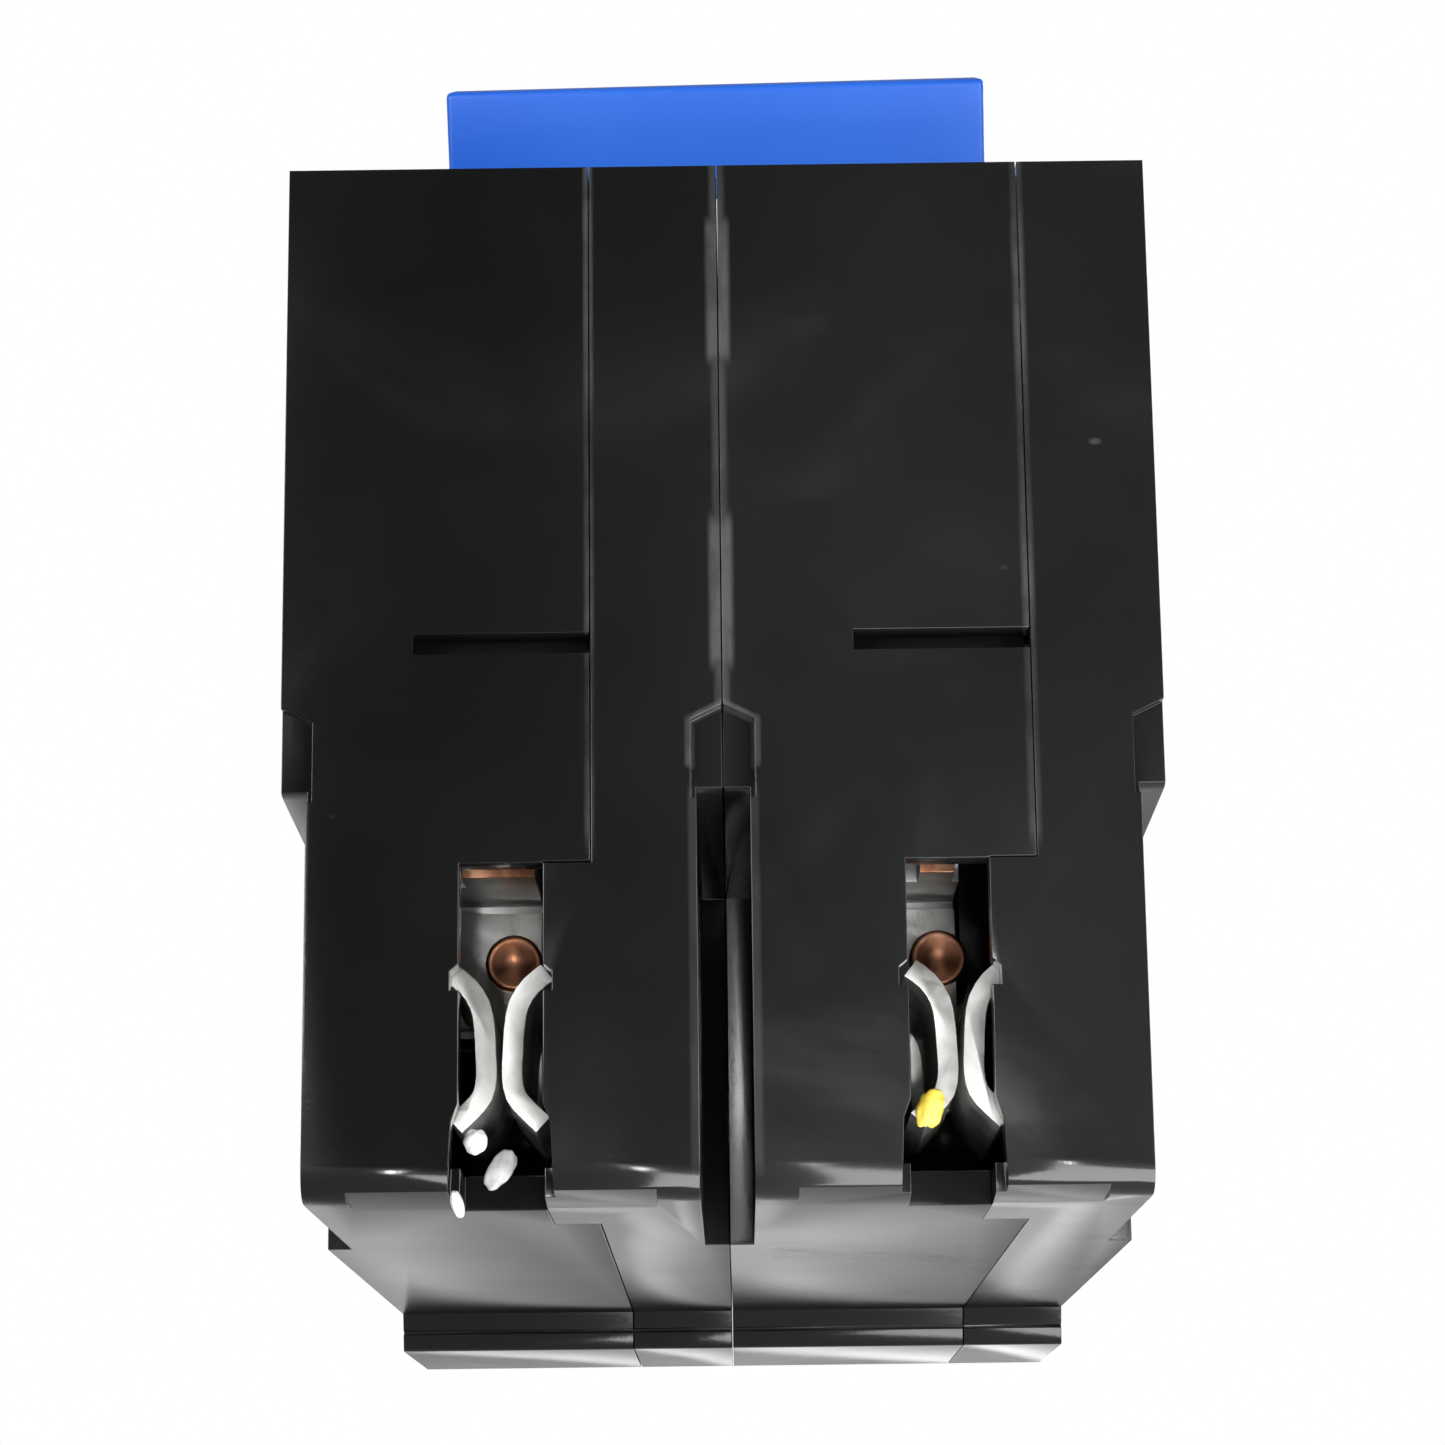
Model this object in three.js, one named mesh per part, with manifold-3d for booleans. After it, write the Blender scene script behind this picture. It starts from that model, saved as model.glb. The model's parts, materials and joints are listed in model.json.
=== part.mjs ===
// Two-pole plug-on GFCI circuit breaker, millimetres, +Z up.
// X runs across the two poles, -Y is the line (jaw) end, +Y the load end, and the handle points to +Z.
// Inside this file y = 0 is the line end face and z = 0 the base plane. The assembly group shifts
// both so that the origin lies under the middle of the foot.
import * as THREE from 'three';
import { mergeVertices } from 'three/addons/utils/BufferGeometryUtils.js';
import Module from 'manifold-3d';

const wasm = await Module();
wasm.setup();

// ---- driving dimensions ----
const POLE = 25.4; // one pole space
const CLEAR = 0.04; // each module stops this short of its pole space
const LENGTH = 105;
const SHOULDER = 61.2; // base plane to the shoulder at the line end
const ESCUTCHEON = { top: 66, start: 14, end: 61 };
const DECK = { height: 47, start: 88, top: 80 }; // terminal deck, and where its slope meets the shoulder
const FOOT = { start: 82, depth: 2.8, lean: 0.8, groove: 0.3 }; // front leans back, with a groove halfway
const WALL = 2;
const EDGE_RADIUS = 2; // lower edge of the line end
const SEAM = 17.8; // joint between case and cover, from the module's left face
const SEAM_GAP = 0.04;
// the recess's roof has a little draft and a rounded lip at the front
const SIDE_RECESS = { depth: 1.54, end: 28.4, top: 23.3, endTop: 22.2, lip: 1.8 };
const HEXAGON = { half: 1.86, depth: 0.8, shoulder: 27.4, peak: 28.3 }; // shallow mark above the side recess
const JAW = { centre: 12.7, width: 4.78, top: 19.1, base: 6 };
const JAW_TONGUE = 14; // how far the cover's tongue runs back beside the jaw mouth
const LEAD_IN = { half: 8.7, end: 4.8, rise: 0.6 }; // shallow slope around the mouth
const LEAF_NOTCH = { low: 11.5, high: 13.4, width: 0.5 }; // clears the upper ends of the jaw's leaves
const TERMINAL = { left: 8.3, right: 14.1, front: 10, back: 20.7, low: 12, top: 21.4 };
const RIVET_HEAD = 1.75; // jaw rivet
const VENT = { left: 7.6, low: 31.4, high: 32.6 };
const RIVETS = [[7, 50], [36, 9], [98, 9], [72, 53]]; // y, z of the four case rivets
const RIVET_RADIUS = 1.6;
const HANDLE = { y: 30, z: 50.5, tilt: THREE.MathUtils.degToRad(24), left: 8, right: 17.4 };
const HUB_RADIUS = 6.5;
const TIP_RADIUS = 26.3;
const TIE_START = 19; // radius at which the blue tie begins
const TIE_THICKNESS = 5;
const TIE_SKEW = 0.8; // degrees; play lets the tie's right end sit higher
const ARM = { y: 40, z: 40, tipY: 13 };
const CRADLE = { y: 49, z: 50, left: 18.4, right: 19.9 };
const ARMATURE = { y: 60.6, z: 47 };
const TRIP_BAR = { y: 57, z: 16, radius: 2 };
const BUTTON = { y: 52, width: 7, depth: 5, top: 68.2 };
const LUG = { y: 96, bottom: 28, floor: 29.2, roof: 38, top: 41.5, half: 4.4, reach: 6.2, wall: 1 };
const SCREW = { radius: 2.8, bottom: 37.2, top: 45.7 };
const WINDOW = { half: 3.6, low: 28.9, high: 37.4 };
const LEFT_LUG = 12.7; // lug centres from the module's left face
const RIGHT_LUG = 6.7;
const NEUTRAL_LUG = 18.9;
const GROMMET = { s: 12.7, z: 14, hole: 4.2, bore: 3.2 };
const SENSOR = { s: 10.8, z: 26.5, outer: 8.6, inner: 4.8 };
const SOLENOID = { s: 12, z: 9, start: 68, end: 82, radius: 6 };

const BLACK = 0x1d1e20;
const BLUE = 0x2f62d0;
const TIN = 0xb9bcb8;
const COPPER = 0xb06a44;
const STEEL = 0x8d9196;
const SILVER = 0xd5d7d8;

// ---- solids ----
function solid(geometry) {
  geometry.deleteAttribute('normal');
  geometry.deleteAttribute('uv');
  const merged = mergeVertices(geometry, 1e-4);
  const index = merged.index.array;
  const kept = [];
  for (let i = 0; i < index.length; i += 3) {
    const [a, b, c] = [index[i], index[i + 1], index[i + 2]];
    if (a !== b && b !== c && c !== a) kept.push(a, b, c);
  }
  const vertProperties = new Float32Array(merged.attributes.position.array);
  return new wasm.Manifold(new wasm.Mesh({ numProp: 3, vertProperties, triVerts: new Uint32Array(kept) }));
}

function block(x0, x1, y0, y1, z0, z1) {
  const geometry = new THREE.BoxGeometry(x1 - x0, y1 - y0, z1 - z0);
  geometry.translate((x0 + x1) / 2, (y0 + y1) / 2, (z0 + z1) / 2);
  return solid(geometry);
}

// closed outline through [a, b] or [a, b, fillet radius] points
function outline(points) {
  const shape = new THREE.Shape();
  const count = points.length;
  points.forEach(([a, b, radius = 0], i) => {
    const here = new THREE.Vector2(a, b);
    const before = new THREE.Vector2(...points[(i + count - 1) % count].slice(0, 2)).sub(here).normalize();
    const after = new THREE.Vector2(...points[(i + 1) % count].slice(0, 2)).sub(here).normalize();
    const reach = radius ? radius / Math.tan(Math.acos(before.dot(after)) / 2) : 0;
    const enter = here.clone().addScaledVector(before, reach);
    if (i === 0) shape.moveTo(enter.x, enter.y);
    else shape.lineTo(enter.x, enter.y);
    if (radius) {
      const leave = here.clone().addScaledVector(after, reach);
      shape.quadraticCurveTo(a, b, leave.x, leave.y);
    }
  });
  shape.closePath();
  return shape;
}

function extrude(shape, depth) {
  return new THREE.ExtrudeGeometry(shape, { depth, bevelEnabled: false, curveSegments: 5 });
}

// a YZ outline swept from x0 to x1
function prismX(shape, x0, x1) {
  const toX = new THREE.Matrix4().set(0, 0, 1, x0, 1, 0, 0, 0, 0, 1, 0, 0, 0, 0, 0, 1);
  return solid(extrude(shape, x1 - x0).applyMatrix4(toX));
}

// an XZ outline swept from y0 to y1
function prismY(shape, y0, y1) {
  return solid(extrude(shape, y1 - y0).rotateX(Math.PI / 2).translate(0, y1, 0));
}

function roundX(radius, x0, x1, y, z, sides = 16) {
  const geometry = new THREE.CylinderGeometry(radius, radius, x1 - x0, sides).rotateZ(-Math.PI / 2);
  return solid(geometry.translate((x0 + x1) / 2, y, z));
}

function roundY(radius, y0, y1, x, z, sides = 16) {
  const geometry = new THREE.CylinderGeometry(radius, radius, y1 - y0, sides);
  return solid(geometry.translate(x, (y0 + y1) / 2, z));
}

function roundZ(radius, z0, z1, x, y, sides = 20) {
  const geometry = new THREE.CylinderGeometry(radius, radius, z1 - z0, sides).rotateX(Math.PI / 2);
  return solid(geometry.translate(x, y, (z0 + z1) / 2));
}

// a turned piece: [radius, height] points, closed on the axis
function turned(points, sides = 24) {
  return solid(new THREE.LatheGeometry(points.map(([r, h]) => new THREE.Vector2(r, h)), sides));
}

class Helix extends THREE.Curve {
  constructor(radius, length, turns) {
    super();
    Object.assign(this, { radius, length, turns });
  }

  getPoint(t, target = new THREE.Vector3()) {
    const angle = 2 * Math.PI * this.turns * t;
    return target.set(this.radius * Math.cos(angle), this.radius * Math.sin(angle), this.length * t);
  }
}

function wire(curve, radius, steps, sides) {
  const section = new THREE.Shape();
  for (let i = 0; i < sides; i += 1) {
    const angle = (2 * Math.PI * i) / sides;
    section[i ? 'lineTo' : 'moveTo'](radius * Math.cos(angle), radius * Math.sin(angle));
  }
  section.closePath();
  return new THREE.ExtrudeGeometry(section, { steps, bevelEnabled: false, extrudePath: curve });
}

function join(...pieces) {
  return pieces.reduce((sum, piece) => sum.add(piece));
}

function cut(body, ...tools) {
  return tools.reduce((rest, tool) => rest.subtract(tool), body);
}

function piece(name, body, color, roughness, metalness, parent) {
  const mesh = body.getMesh();
  const geometry = new THREE.BufferGeometry();
  geometry.setAttribute('position', new THREE.BufferAttribute(new Float32Array(mesh.vertProperties), 3));
  geometry.setIndex(new THREE.BufferAttribute(new Uint32Array(mesh.triVerts), 1));
  geometry.computeVertexNormals();
  const part = new THREE.Mesh(geometry, new THREE.MeshStandardMaterial({ color, roughness, metalness }));
  part.name = name;
  parent.add(part);
  return part;
}

// ---- case and cover ----
// side outline of a module, drawn inside the true outline by the inset
function bodyOutline(inset) {
  const rise = SHOULDER - DECK.height;
  const run = DECK.start - DECK.top;
  const shift = (inset * Math.hypot(rise, run)) / rise;
  const slopeY = (z) => DECK.start - ((z - DECK.height) * run) / rise - shift;
  const deck = DECK.height - inset;
  const shoulder = SHOULDER - inset;
  const edge = inset ? 0 : EDGE_RADIUS;
  const foot = inset ? [] : [[FOOT.start, 0], [FOOT.start + FOOT.lean, -FOOT.depth, 0.4]];
  return outline([
    [inset, inset, edge], ...foot,
    [LENGTH - inset, inset || -FOOT.depth], [LENGTH - inset, deck],
    [slopeY(deck), deck], [slopeY(shoulder), shoulder],
    [ESCUTCHEON.end - inset, shoulder], [ESCUTCHEON.end - inset, ESCUTCHEON.top - inset],
    [ESCUTCHEON.start + inset, ESCUTCHEON.top - inset], [ESCUTCHEON.start + inset, shoulder],
    [inset, shoulder],
  ]);
}

// pivots carried by bosses in both halves: y, z, boss radius, bore radius
const BEARINGS = [
  [HANDLE.y, HANDLE.z, 4.2, 2.2],
  [ARM.y, ARM.z, 3, 1.5],
  [ARMATURE.y, ARMATURE.z, 2.4, 1.2],
];

// bosses from s0 to s1, bored from b0 to b1
function bossed(shell, bearings, s0, s1, b0, b1) {
  const bosses = bearings.map(([y, z, radius]) => roundX(radius, s0, s1, y, z, 12));
  const bores = bearings.map(([y, z, , bore]) => roundX(bore, b0, b1, y, z, 12));
  return cut(join(shell, ...bosses), ...bores);
}

// the outer region that the recess takes away, with the front lip of its roof left round
function sideRecess(s0, s1) {
  const { end, top, endTop, lip } = SIDE_RECESS;
  const shape = new THREE.Shape();
  shape.moveTo(-1, -1);
  shape.lineTo(end, -1);
  shape.lineTo(end, endTop);
  shape.lineTo(lip, top);
  shape.quadraticCurveTo(0, top, 0, top + lip);
  shape.lineTo(-1, top + lip);
  shape.closePath();
  return prismX(shape, s0, s1);
}

function footGroove(s0, s1) {
  const middle = -FOOT.depth / 2;
  const half = FOOT.groove / 2;
  const bottom = FOOT.start + FOOT.lean / 2 + FOOT.groove;
  return block(s0, s1, FOOT.start - 1, bottom, middle - half, middle + half);
}

// shallow half hexagon above the side recess; direction is +1 on a module's left side, -1 on its right
function halfHexagon(s, direction) {
  const { half, depth, shoulder, peak } = HEXAGON;
  const low = SIDE_RECESS.top - 0.5;
  const points = [[-0.5, low], [half, low], [half, shoulder], [0, peak], [-0.5, peak]]
    .map(([a, z]) => [s + direction * a, z]);
  return prismY(outline(direction > 0 ? points : points.reverse()), -1, depth);
}

// the flared lower end of the jaw mouth and the shallow lead-in on the base around it
function mouthFlare() {
  const left = JAW.centre - JAW.width / 2;
  const right = JAW.centre + JAW.width / 2;
  const flare = outline([[left - 0.6, -0.2], [right + 0.6, -0.2], [right + 0.4, 4.4], [right, 5.4],
    [left, 5.4], [left - 0.4, 4.4]]);
  const { half, end, rise } = LEAD_IN;
  const slope = outline([[0, -0.2], [end, -0.2], [end, 0], [0, rise]]);
  return join(prismY(flare, -1, WALL + 0.1), prismX(slope, JAW.centre - half, JAW.centre + half));
}

// pockets in the mouth's side walls for the upper ends of the leaves
function leafNotches() {
  const half = JAW.width / 2 + LEAF_NOTCH.width;
  const { low, high } = LEAF_NOTCH;
  const shape = outline([[-half, low + 0.3], [half, low + 0.3], [half, high - 0.5], [half - 0.6, high],
    [0.6 - half, high], [-half, high - 0.5]].map(([a, z]) => [JAW.centre + a, z]));
  return prismY(shape, -1, WALL + 0.1);
}

function rivetHoles(s0, s1) {
  return join(...RIVETS.map(([y, z]) => roundX(RIVET_RADIUS + 0.3, s0, s1, y, z, 12)));
}

function lugOpenings(centre) {
  const { half, low, high } = WINDOW;
  const window = block(centre - half, centre + half, LENGTH - 4, LENGTH + 1, low, high);
  return join(window, roundZ(3.8, DECK.height - 4, DECK.height + 1, centre, LUG.y));
}

function handleSlot(s0, s1) {
  return block(s0, s1, 19, 41, ESCUTCHEON.top - 4, ESCUTCHEON.top + 1);
}

// bosses and countersinks for the rivet heads on an outer side face
function headSeats(inner0, inner1, sink0, sink1, shell) {
  const bosses = RIVETS.map(([y, z]) => roundX(4.2, inner0, inner1, y, z, 12));
  const sinks = RIVETS.map(([y, z]) => roundX(3.2, sink0, sink1, y, z, 24));
  return cut(join(shell, ...bosses), ...sinks);
}

function caseRibs() {
  const inner = CLEAR + WALL - 0.3;
  const right = SEAM - 0.4;
  const ramp = outline([[JAW.base, 0.1], [15, 0.1], [15, 4]]);
  return [
    block(inner, 3.3, 1.7, 30.2, 1.7, 25.9), // backs the side recess
    block(inner, right, 22, 23.2, 1.7, 18), // wall behind the line terminal
    block(14.6, right, 22, 23.2, 17.7, 27), // its upper part, clear of the contact arm
    block(6.4, 7.6, 1.7, 20, 1.7, 19.6), // left wall of the jaw pocket
    prismX(ramp, 7.7, JAW.centre + JAW.width / 2 - 0.2),
    block(inner, right, 91, LENGTH - 1, 25.5, LUG.bottom - 0.2), // shelf under the load lug
  ];
}

function caseSolid({ lugs, grommet, button, rightHand }) {
  const left = CLEAR;
  const right = SEAM - SEAM_GAP;
  const slotLeft = JAW.centre - JAW.width / 2;
  const slotRight = JAW.centre + JAW.width / 2;
  let shell = prismX(bodyOutline(0), left, right);
  shell = cut(shell, prismX(bodyOutline(WALL), left + WALL - 0.2, SEAM + 1));
  shell = join(shell, ...caseRibs());
  if (lugs.length > 1) shell = join(shell, block(12.2, 13.4, 86, LENGTH - 1, 20, DECK.height - 1));
  shell = bossed(shell, BEARINGS, left + 1, 7.6, 3.5, 9);
  const barBore = rightHand ? -1 : 3.5;
  shell = bossed(shell, [[TRIP_BAR.y, TRIP_BAR.z, 4, TRIP_BAR.radius + 0.3]], left + 1, 6, barBore, 9);
  if (!rightHand) shell = headSeats(left + 1, 5, -1, left + 1.3, shell);
  shell = cut(shell, rivetHoles(-1, 9));
  shell = cut(
    shell,
    sideRecess(-1, SIDE_RECESS.depth),
    halfHexagon(0, 1),
    leafNotches(),
    block(slotLeft, SEAM + 1, -1, WALL + 0.1, -1, JAW.top),
    block(slotLeft, slotRight, -1, JAW.base, -1, WALL + 0.1),
    block(slotRight - SEAM_GAP, SEAM + 1, -1, JAW_TONGUE + SEAM_GAP, -1, WALL + 0.1),
    block(slotRight, SEAM + 1, -1, WALL + 0.1, -1, JAW.top + 2 * SEAM_GAP),
    mouthFlare(),
    block(VENT.left, SEAM + 1, -1, WALL + 0.1, VENT.low, VENT.high),
    handleSlot(HANDLE.left - 0.35, SEAM + 1),
    footGroove(left - 1, SEAM + 1),
    ...lugs.map(lugOpenings),
  );
  if (grommet) shell = cut(shell, roundY(GROMMET.hole, LENGTH - 4, LENGTH + 1, GROMMET.s, GROMMET.z, 24));
  if (button) {
    const [a, b] = [BUTTON.width / 2 + 0.25, BUTTON.depth / 2 + 0.25];
    const [x, y, top] = [JAW.centre, BUTTON.y, ESCUTCHEON.top];
    shell = cut(shell, block(x - a, x + a, y - b, y + b, top - 4, top + 1));
  }
  return shell;
}

function coverSolid({ lugs, rightHand }) {
  const left = SEAM + SEAM_GAP;
  const right = POLE - CLEAR;
  const slotRight = JAW.centre + JAW.width / 2;
  let shell = prismX(bodyOutline(0), left, right);
  shell = cut(shell, prismX(bodyOutline(WALL), left - 1, right - WALL + 0.2));
  // tongue that closes the right side of the jaw mouth, rounded like the lower edge it continues
  const mouthEdge = outline([[0, 0, EDGE_RADIUS], [JAW_TONGUE, 0], [JAW_TONGUE, WALL], [WALL, WALL],
    [WALL, JAW.top], [0, JAW.top]]);
  shell = join(
    shell,
    prismX(mouthEdge, slotRight, left + 0.5),
    block(left, left + 1.2, 1.7, 20, 1.7, 19.6), // right wall of the jaw pocket
    block(22.1, right - 1.5, 1.7, 30.2, 1.7, 25.9), // backs the side recess
    roundX(2.6, 20.3, right - 1, CRADLE.y, CRADLE.z),
    roundX(1.5, CRADLE.left - 0.2, right - 1, CRADLE.y, CRADLE.z, 16), // cradle pivot pin
    roundX(0.9, 20.4, right - 1, CRADLE.y - 1, 22, 12), // spring post
  );
  shell = bossed(shell, BEARINGS, left, right - 1, left - 1, 22);
  const barBore = rightHand ? 22 : POLE + 1;
  shell = bossed(shell, [[TRIP_BAR.y, TRIP_BAR.z, 4, TRIP_BAR.radius + 0.3]], 19.4, right - 1, 18, barBore);
  if (rightHand) shell = headSeats(20.6, right - 1, right - 1.3, POLE + 1, shell);
  shell = cut(shell, rivetHoles(18, POLE + 1));
  return cut(
    shell,
    sideRecess(POLE - SIDE_RECESS.depth, POLE + 1),
    halfHexagon(POLE, -1),
    leafNotches(),
    mouthFlare(),
    footGroove(left - 1, POLE + 1),
    ...lugs.map(lugOpenings),
  );
}

function caseRivet(y, z) {
  const reach = POLE - CLEAR - 0.3;
  const head = reach - 0.9;
  const profile = [[0, -reach], [1.1, -reach], [1.3, -reach + 0.3], [2.6, -reach + 0.3], [2.9, -reach + 0.5],
    [2.9, -head], [RIVET_RADIUS, -head], [RIVET_RADIUS, head], [2.9, head], [2.9, reach - 0.5],
    [2.6, reach - 0.3], [1.3, reach - 0.3], [1.1, reach], [0, reach]];
  return turned(profile, 16).rotate([0, 0, 90]).translate([0, y, z]);
}

// ---- line side: jaw, terminal and contacts ----
// outline of one spring leaf in the XZ plane: a smooth centre line given its thickness
function leafOutline(side) {
  const thickness = 1.15;
  const centre = new THREE.SplineCurve([[2.75, 13.15], [1.8, 12.4], [1.1, 11.3], [0.86, 10], [0.78, 8.6],
    [0.73, 7.2], [0.95, 6.1], [1.6, 5.3], [2.5, 4.45]].map(([x, z]) => new THREE.Vector2(side * x, z)));
  const steps = 16;
  const outer = [];
  const inner = [];
  for (let i = 0; i <= steps; i += 1) {
    const point = centre.getPoint(i / steps);
    const along = centre.getTangent(i / steps);
    const normal = new THREE.Vector2(-along.y, along.x).multiplyScalar(thickness / 2);
    outer.push(point.clone().add(normal));
    inner.unshift(point.clone().sub(normal));
  }
  return new THREE.Shape([...outer, ...inner]);
}

// offset moves the leaves sideways from the middle of the mouth, rivet moves the rivet
function jawClip({ offset, rivet }) {
  const right = TERMINAL.right;
  const web = outline([[11.2, 7], [right, 7], [right, 19.5], [TERMINAL.left + 0.4, 19.5],
    [TERMINAL.left + 0.4, 12.4], [11.2, 12.4]]);
  const leaves = join(prismY(leafOutline(1), 2.2, 18.8), prismY(leafOutline(-1), 2.2, 18.8));
  const clip = join(leaves.translate([JAW.centre + offset, 0, 0]), prismY(web, 18.3, 19.5));
  return cut(clip, roundY(1.05, 17, 21, JAW.centre + rivet, 16.3, 16));
}

// plate behind the jaw, and the ledge above it that carries the fixed contact
function lineTerminal({ ledge, rivet }) {
  const { left, right, front, back, low, top } = TERMINAL;
  const under = top - 1.2;
  const plate = block(left, right, back - 1, back, low, top);
  const shelf = join(block(left, right, front + 3, back, under, top), block(...ledge, front, back, under, top));
  return cut(join(plate, shelf), roundY(1.05, 17, 22, JAW.centre + rivet, 16.3, 16));
}

// dished copper rivet that holds the jaw to its terminal
function jawRivet({ rivet }) {
  const edge = RIVET_HEAD;
  const head = [[0, 17.85], [0.7, 17.7], [edge - 0.45, 17.35], [edge - 0.2, 17.3], [edge, 17.5], [edge, 18.2]];
  const profile = [...head, [0.9, 18.2], [0.9, 20.8], [1.5, 20.8], [1.5, 21.3], [0, 21.5]];
  return turned(profile, 24).translate([JAW.centre + rivet, 0, 16.3]);
}

function contactArm() {
  const lever = outline([[10.8, 23.8], [15.5, 23.8], [38.5, 37.6], [41, 42.4], [38, 42.3], [12, 28.2],
    [10.8, 26.6]]);
  const eye = roundX(2.8, 11.2, 14.2, ARM.y, ARM.z);
  return join(prismX(lever, 11.2, 14.2), eye, roundX(1.3, 4.2, 21.4, ARM.y, ARM.z, 16));
}

function arcChute() {
  const sheets = [6.5, 18.1].map((x) => block(x, x + 0.8, 2.6, 9.6, 25, 41));
  const plates = [];
  for (let i = 0; i < 6; i += 1) plates.push(block(7, 18.4, 3, 8.6, 26.4 + 2.6 * i, 27.2 + 2.6 * i));
  return cut(join(...sheets, ...plates), block(10.4, 15, 5.6, 10, 24, 40.4));
}

// dark fibre sheet that covers the arc vent from inside
function ventBaffle() {
  return block(VENT.left - 1, SEAM - 0.2, WALL + 0.06, WALL + 0.5, VENT.low - 1.8, VENT.high + 1.8);
}

// ---- handle ----
// outlines are drawn about the handle's pivot with the handle pointing to +Z, then tilted to ON
function tilted(body) {
  return body.rotate([THREE.MathUtils.radToDeg(HANDLE.tilt), 0, 0]).translate([0, HANDLE.y, HANDLE.z]);
}

function handleLever() {
  const { left, right } = HANDLE;
  const shieldInner = 11;
  const shieldOuter = 12.8;
  const sweep = THREE.MathUtils.degToRad(84);
  const shield = new THREE.Shape();
  shield.absarc(0, 0, shieldOuter, Math.PI / 2 - sweep, Math.PI / 2 + sweep, false);
  shield.absarc(0, 0, shieldInner, Math.PI / 2 + sweep, Math.PI / 2 - sweep, true);
  shield.closePath();
  const neck = outline([[-3, 0], [3, 0], [3, TIE_START - 0.3], [-3, TIE_START - 0.3]]);
  return tilted(join(
    roundX(HUB_RADIUS, left, right, 0, 0, 28),
    prismX(shield, left, right),
    prismX(neck, left, right),
    roundX(2, 3.9, 21.6, 0, 0),
  ));
}

function handleTie() {
  const half = TIE_THICKNESS / 2;
  const side = HANDLE.right;
  const middle = (TIE_START + TIP_RADIUS) / 2;
  const reach = TIP_RADIUS - middle;
  const section = outline([[-half, -reach], [half, -reach], [half, reach, 0.5], [-half, reach, 0.5]]);
  const bar = prismX(section, -side, side);
  return tilted(bar.rotate([0, -TIE_SKEW, 0]).translate([0, 0, middle]));
}

// ---- trip unit ----
function cradle() {
  const lever = outline([[-8, 3], [-6.4, 5.4], [0, 3.2], [4, -0.5], [9, -5], [8, -7], [-0.5, -3], [-4, -0.6]]
    .map(([y, z]) => [CRADLE.y + y, CRADLE.z + z]));
  const body = prismX(lever, CRADLE.left, CRADLE.right);
  return cut(body, roundX(1.75, 17, 22, CRADLE.y, CRADLE.z, 16));
}

function cradleSpring() {
  const top = new THREE.Vector3(21.6, CRADLE.y - 6, CRADLE.z + 2.4);
  const bottom = new THREE.Vector3(21.6, CRADLE.y - 1.4, 24.2);
  const coil = new Helix(1, top.distanceTo(bottom), 8);
  const geometry = wire(coil, 0.28, 64, 4);
  const turn = new THREE.Quaternion().setFromUnitVectors(
    new THREE.Vector3(0, 0, 1), top.clone().sub(bottom).normalize(),
  );
  return solid(geometry.applyQuaternion(turn).translate(bottom.x, bottom.y, bottom.z));
}

function armature() {
  const plate = block(9.2, 16.2, 60, 61.2, 22, 47.4);
  const window = block(11.2, 14.2, 59, 62, 36, 41);
  return join(cut(plate, window), roundX(1, 4.2, 21.4, ARMATURE.y, ARMATURE.z, 16));
}

function magnetYoke() {
  const back = block(9.2, 16.2, 67.6, 68.8, 26, 40);
  return join(back, block(9.2, 10.4, 63, 68.8, 26, 40), block(15, 16.2, 63, 68.8, 26, 40));
}

function loadBraid(lug) {
  const end = lug + 1.4;
  const points = [[12.7, 69.6, 24], [12.6, 71.4, 24.8], [(12.7 + end) / 2, 74, 26.6], [end, 76.8, 28.2]];
  const curve = new THREE.CatmullRomCurve3(points.map((p) => new THREE.Vector3(...p)));
  return solid(wire(curve, 1.1, 10, 8));
}

function tripBar() {
  const from = 4.2 - POLE;
  const to = 21.4;
  const bar = roundX(TRIP_BAR.radius, from, to, TRIP_BAR.y, TRIP_BAR.z);
  const { y, z } = TRIP_BAR;
  const poles = [JAW.centre - POLE, JAW.centre];
  const fingers = poles.map((x) => block(x - 1.6, x + 1.6, y - 1, y + 1, z, z + 11));
  const kicker = block(SOLENOID.s - 2, SOLENOID.s + 2, y - 1, y + 1, z - 9.5, z);
  return join(bar, ...fingers, kicker);
}

// ---- ground-fault electronics ----
function sensorCoil() {
  const { s, z, outer, inner } = SENSOR;
  return cut(roundY(outer, 71.6, 76, s, z, 28), roundY(inner, 70, 77, s, z, 24));
}

function circuitBoard() {
  const board = block(20.6, 22, 64, 92, 4, 23);
  const chip = block(19.2, 20.8, 85, 91, 6, 12);
  const relay = block(18.9, 20.8, 84, 90, 16, 21);
  const capacitor = roundX(2.2, 18.9, 20.8, 67.6, 19, 16);
  return join(board, chip, relay, capacitor);
}

function solenoidCoil() {
  const { s, z, start, end, radius } = SOLENOID;
  const flanges = [start, end - 1.2].map((a) => roundY(radius, a, a + 1.2, s, z, 24));
  const bobbin = join(roundY(radius - 1, start, end, s, z, 24), ...flanges);
  return cut(bobbin, roundY(2.2, start - 1, end + 1, s, z));
}

function solenoidFrame() {
  const { s, z, start, end, radius } = SOLENOID;
  const [low, high] = [2.3, z + radius];
  const far = s + radius + 1.3;
  const plates = [start - 1.6, end + 0.3].map((a) => block(s - radius, far, a, a + 1.3, low, high));
  const bridge = block(far - 1.1, far, start - 1.6, end + 1.6, low, high);
  return cut(join(...plates, bridge), roundY(2.2, start - 3, start + 1, s, z));
}

function plunger() {
  const { s, z, start, end } = SOLENOID;
  return join(roundY(1.9, 58.7, end - 3, s, z), roundY(3.2, start - 6.2, start - 5.4, s, z));
}

function plungerSpring() {
  const { s, z, start } = SOLENOID;
  const geometry = wire(new Helix(2.6, 2.4, 3), 0.25, 27, 4);
  return solid(geometry.rotateX(-Math.PI / 2).translate(s, start - 4.9, z));
}

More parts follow.
